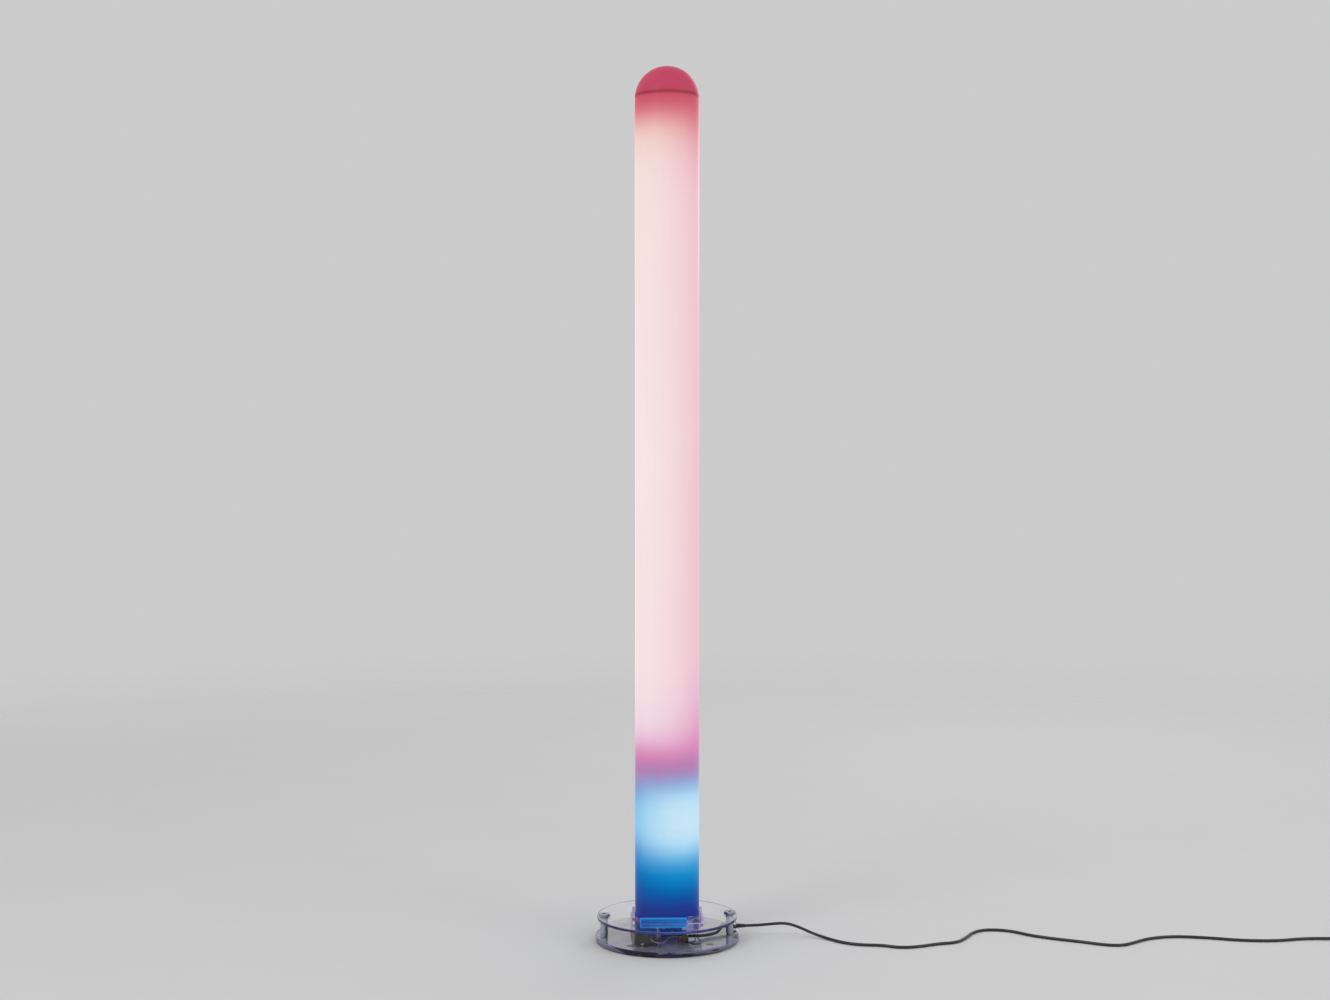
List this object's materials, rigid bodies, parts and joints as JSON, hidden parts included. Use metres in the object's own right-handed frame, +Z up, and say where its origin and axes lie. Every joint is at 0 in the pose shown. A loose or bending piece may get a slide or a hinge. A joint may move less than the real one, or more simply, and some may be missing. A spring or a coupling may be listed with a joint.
{
  "type": "floor lamp",
  "caption": "Tall floor lamp: a glowing opal tube with a domed cap stands on a clear double-disc base with screwed spacers, control gear, a push switch and a cord.",
  "frame": {"origin": "centre of the base's underside, on the floor under the tube's axis", "axes": "+Z up along the tube, +X towards the spacer where the mains cord leaves, -Y towards the front of the base"},
  "size_m": [1.4991, 0.268, 1.6285],
  "materials": {
    "pad_rubber": "clear soft pads, matte",
    "clear_disc": "clear acrylic, polished",
    "clear_plate": "clear acrylic, polished",
    "spacer_chrome": "polished",
    "cap_chrome": "polished",
    "screw_steel": "plain zinc",
    "opal_tube": "opal acrylic, lit from inside",
    "opal_dome": "opal acrylic, lit from inside",
    "white_steel": "white enamel, satin",
    "white_plastic": "moulded, matte",
    "rotor_plastic": "moulded, matte",
    "pink_lamp": "phosphor coated glass",
    "blue_lamp": "phosphor coated glass",
    "lamp_cap": "satin",
    "pin_brass": "plain",
    "lamp_base_plastic": "moulded, matte",
    "gear_steel": "dark lacquer, satin",
    "terminal_plastic": "moulded, matte",
    "terminal_brown": "moulded, matte",
    "black_plastic": "moulded, satin",
    "black_rubber": "matte",
    "white_insulation": "smooth insulation",
    "black_insulation": "smooth insulation",
    "cord_black": "smooth satin sheath",
    "tie_black": "smooth band",
    "plug_plastic": "moulded, satin"
  },
  "bodies": {
    "base": {"foot_pads": "pad_rubber", "lower_disc": "clear_disc", "upper_disc": "clear_disc", "front_plate": "clear_plate", "back_plate": "clear_plate", "left_plate": "clear_plate", "right_plate": "clear_plate", "end_plate": "clear_plate", "spacers": "spacer_chrome", "base_screws": "screw_steel", "cap_screws": "cap_chrome", "foot_plate": "white_steel", "foot_screws": "screw_steel", "foot_nuts": "screw_steel", "lead_grommet": "black_rubber", "lamp_channel": "white_steel", "lower_lampholder": "white_plastic", "upper_lampholder": "white_plastic", "holder_screws": "screw_steel", "bracket_screws": "screw_steel", "short_lamp_bracket": "white_steel", "short_lamp_holder": "white_plastic", "main_gear_case": "gear_steel", "small_gear_case": "gear_steel", "gear_end_blocks": "terminal_plastic", "gear_screws": "screw_steel", "terminal_block": "terminal_brown", "terminal_screws": "pin_brass", "switch_body": "black_plastic", "switch_nut": "screw_steel", "switch_tabs": "pin_brass", "lamp_leads": "white_insulation", "gear_leads": "white_insulation", "switch_leads": "black_insulation", "inner_mains_lead": "black_insulation", "cord_bracket": "clear_plate", "cord_relief": "black_rubber", "cord_free": "cord_black", "cord_coil": "cord_black", "cord_tail": "cord_black", "coil_tie": "tie_black", "plug_body": "plug_plastic", "plug_pins": "pin_brass"},
    "tube": {"diffuser_tube": "opal_tube"},
    "dome": {"dome_cap": "opal_dome", "dome_ring": "opal_dome"},
    "long_lamp": {"long_lamp_glass": "pink_lamp", "long_lamp_caps": "lamp_cap", "long_lamp_pins": "pin_brass", "lower_rotor": "rotor_plastic", "upper_rotor": "rotor_plastic"},
    "short_lamp": {"short_lamp_glass": "blue_lamp", "short_lamp_base": "lamp_base_plastic", "short_lamp_pins": "pin_brass"},
    "button": {"switch_button": "black_plastic"}
  },
  "joints": [
    {"name": "tube_lift", "type": "slide", "parent": "base", "child": "tube", "axis": [0, 0, 1], "range_m": [0, 1.55]},
    {"name": "dome_lift", "type": "slide", "parent": "tube", "child": "dome", "axis": [0, 0, 1], "range_m": [0, 0.06]},
    {"name": "long_lamp_turn", "type": "hinge", "parent": "base", "child": "long_lamp", "pos_m": [-0.02, -0.008, 0.9557], "axis": [0, 0, 1], "range_deg": [0, 90]},
    {"name": "short_lamp_pull", "type": "slide", "parent": "base", "child": "short_lamp", "axis": [0, 0, 1], "range_m": [0, 0.04]},
    {"name": "button_press", "type": "slide", "parent": "base", "child": "button", "axis": [0, 0, -1], "range_m": [0, 0.0018], "stiffness_N_per_m": 300}
  ]
}
